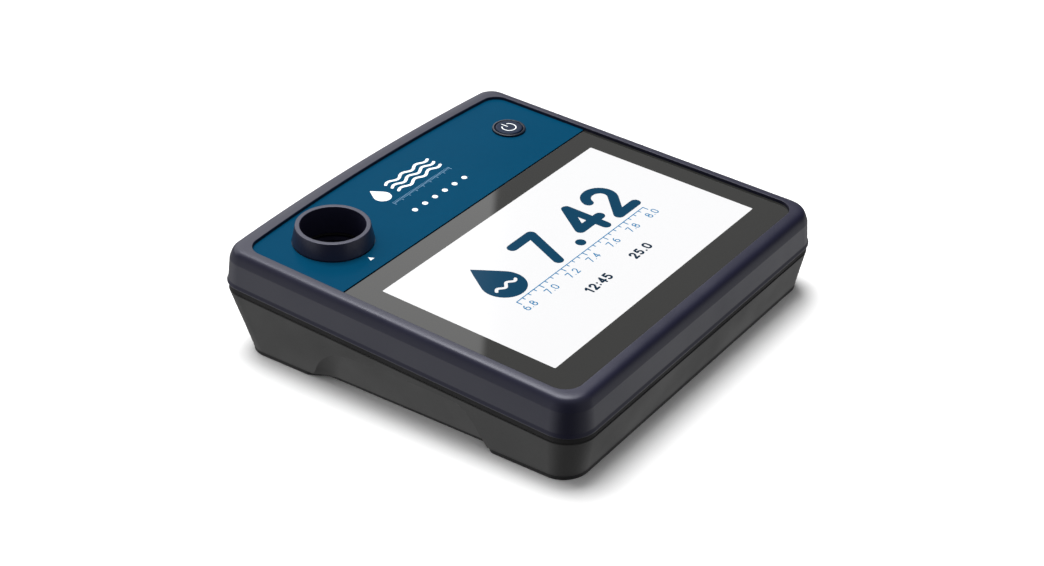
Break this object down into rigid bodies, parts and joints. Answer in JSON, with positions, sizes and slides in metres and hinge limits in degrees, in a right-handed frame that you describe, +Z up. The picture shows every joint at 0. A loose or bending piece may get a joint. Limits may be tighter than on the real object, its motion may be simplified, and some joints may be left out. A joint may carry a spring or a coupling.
{
  "type": "digital water tester",
  "caption": "Square bench photometer for pool and spa water: sloping deck with a touch screen, raised sample well, power button, finger grips in the side walls.",
  "frame": {"origin": "bottom centre of the instrument, on the table", "axes": "+X the user's right, +Y away from the user, +Z up"},
  "size_m": [0.195, 0.1916, 0.0556],
  "materials": {
    "navy_plastic": "satin navy moulding with a fine spark texture",
    "grey_plastic": "satin dark grey moulding",
    "black_rubber": "matt black elastomer",
    "blue_overlay": "smooth printed polyester, satin",
    "black_glass": "printed black touch glass, glossy",
    "screen": "lit white display",
    "black_plastic": "matt black, light absorbing",
    "window_glass": "clear optical glass",
    "led_lens": "clear epoxy lens",
    "bezel_plastic": "satin painted ring",
    "button_plastic": "dark blue cap",
    "dark_component": "moulded component",
    "circuit_board": "solder mask",
    "cell_sleeve": "shrink sleeve",
    "flat_cable": "polyimide film",
    "steel": "plated steel"
  },
  "bodies": {
    "case": {"base_ring": "black_rubber", "battery_cell_1": "cell_sleeve", "battery_cell_2": "cell_sleeve", "battery_link_plate": "steel", "battery_terminal_1": "steel", "battery_terminal_2": "steel", "board_screw_1": "steel", "board_screw_2": "steel", "board_screw_3": "steel", "board_screw_4": "steel", "bracket_screw_1": "steel", "bracket_screw_2": "steel", "bracket_screw_3": "steel", "bracket_screw_4": "steel", "button_bezel": "bezel_plastic", "button_board": "circuit_board", "button_board_screw_1": "steel", "button_board_screw_2": "steel", "case_screw_1": "steel", "case_screw_2": "steel", "case_screw_3": "steel", "case_screw_4": "steel", "chamber_screw_1": "steel", "chamber_screw_2": "steel", "collar_seal": "black_rubber", "control_overlay": "blue_overlay", "cover_glass": "black_glass", "detector_board": "circuit_board", "detector_window": "window_glass", "display_bracket": "steel", "display_module": "screen", "display_ribbon": "flat_cable", "led_board": "circuit_board", "lower_shell": "grey_plastic", "main_board": "circuit_board", "photodiode": "steel", "processor": "dark_component", "radio_module": "steel", "sample_chamber": "black_plastic", "sample_collar": "navy_plastic", "seam_gasket": "black_rubber", "source_led": "led_lens", "source_window": "window_glass", "tactile_switch": "steel", "upper_shell": "navy_plastic", "usb_board": "circuit_board", "usb_board_screw_1": "steel", "usb_board_screw_2": "steel", "usb_socket": "steel"},
    "power_button": {"power_button_cap": "button_plastic", "switch_plunger": "dark_component"},
    "port_flap": {"port_cover": "black_rubber"},
    "battery_hatch": {"battery_door": "grey_plastic", "door_screw_1": "steel", "door_screw_2": "steel"}
  },
  "joints": [
    {"name": "power_button_press", "type": "slide", "parent": "case", "child": "power_button", "axis": [0, -0.0543, 0.9985], "range_m": [-0.0006, 0], "stiffness_N_per_m": 1500, "springref_m": 0.0004},
    {"name": "port_cover_hinge", "type": "hinge", "parent": "case", "child": "port_flap", "pos_m": [0.034, 0.09218, 0.02296], "axis": [1, 0, 0], "range_deg": [0, 120]},
    {"name": "battery_door_lift", "type": "slide", "parent": "case", "child": "battery_hatch", "axis": [0, 0, -1], "range_m": [0, 0.03]}
  ]
}
